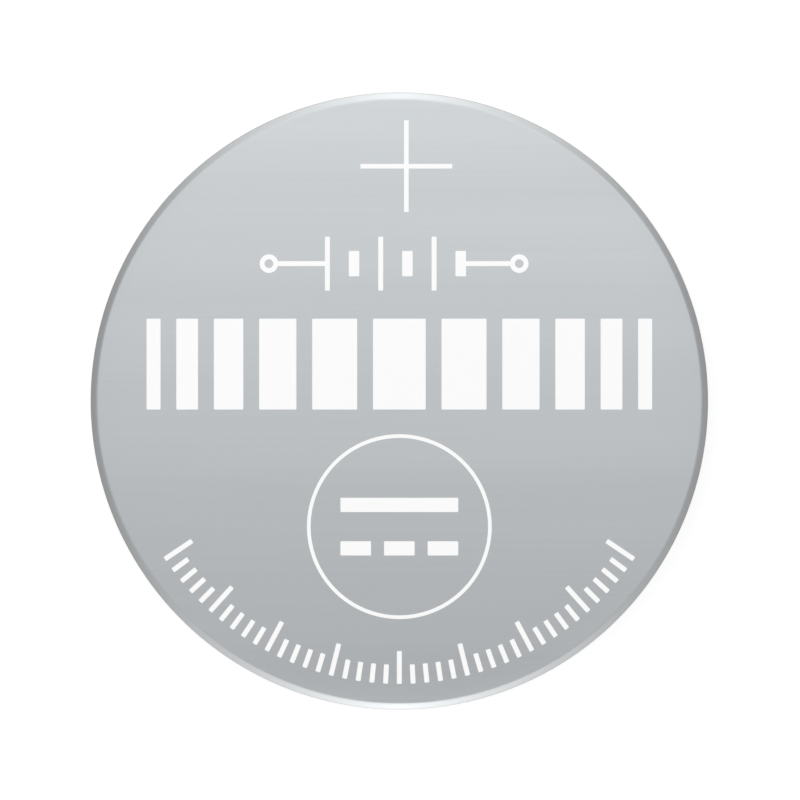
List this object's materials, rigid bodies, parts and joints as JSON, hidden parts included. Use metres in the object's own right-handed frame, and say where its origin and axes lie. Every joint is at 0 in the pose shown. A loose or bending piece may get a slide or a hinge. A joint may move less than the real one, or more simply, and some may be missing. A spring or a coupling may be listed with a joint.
{
  "type": "lithium coin cell",
  "caption": "Flat round lithium cell: a drawn steel positive can crimped over a gasket and a negative cap, with pressed electrodes and a separator sealed inside.",
  "frame": {"origin": "centre of the negative face, which is the lowest face of the cell", "axes": "+Z along the cell's axis, from the negative face to the positive face; +Y is up in the picture of the positive face"},
  "size_m": [0.02, 0.02, 0.0032],
  "materials": {
    "can_steel": "satin",
    "cap_steel": "satin",
    "gasket_plastic": "matte",
    "cathode": "matte",
    "ring_steel": "satin",
    "separator_felt": "matte",
    "lithium": "satin",
    "white_ink": "matte"
  },
  "bodies": {
    "root": {"positive_can": "can_steel", "gasket": "gasket_plastic", "negative_cap": "cap_steel", "cathode_pellet": "cathode", "cathode_ring": "ring_steel", "separator": "separator_felt", "lithium_anode": "lithium"}
  },
  "joints": []
}
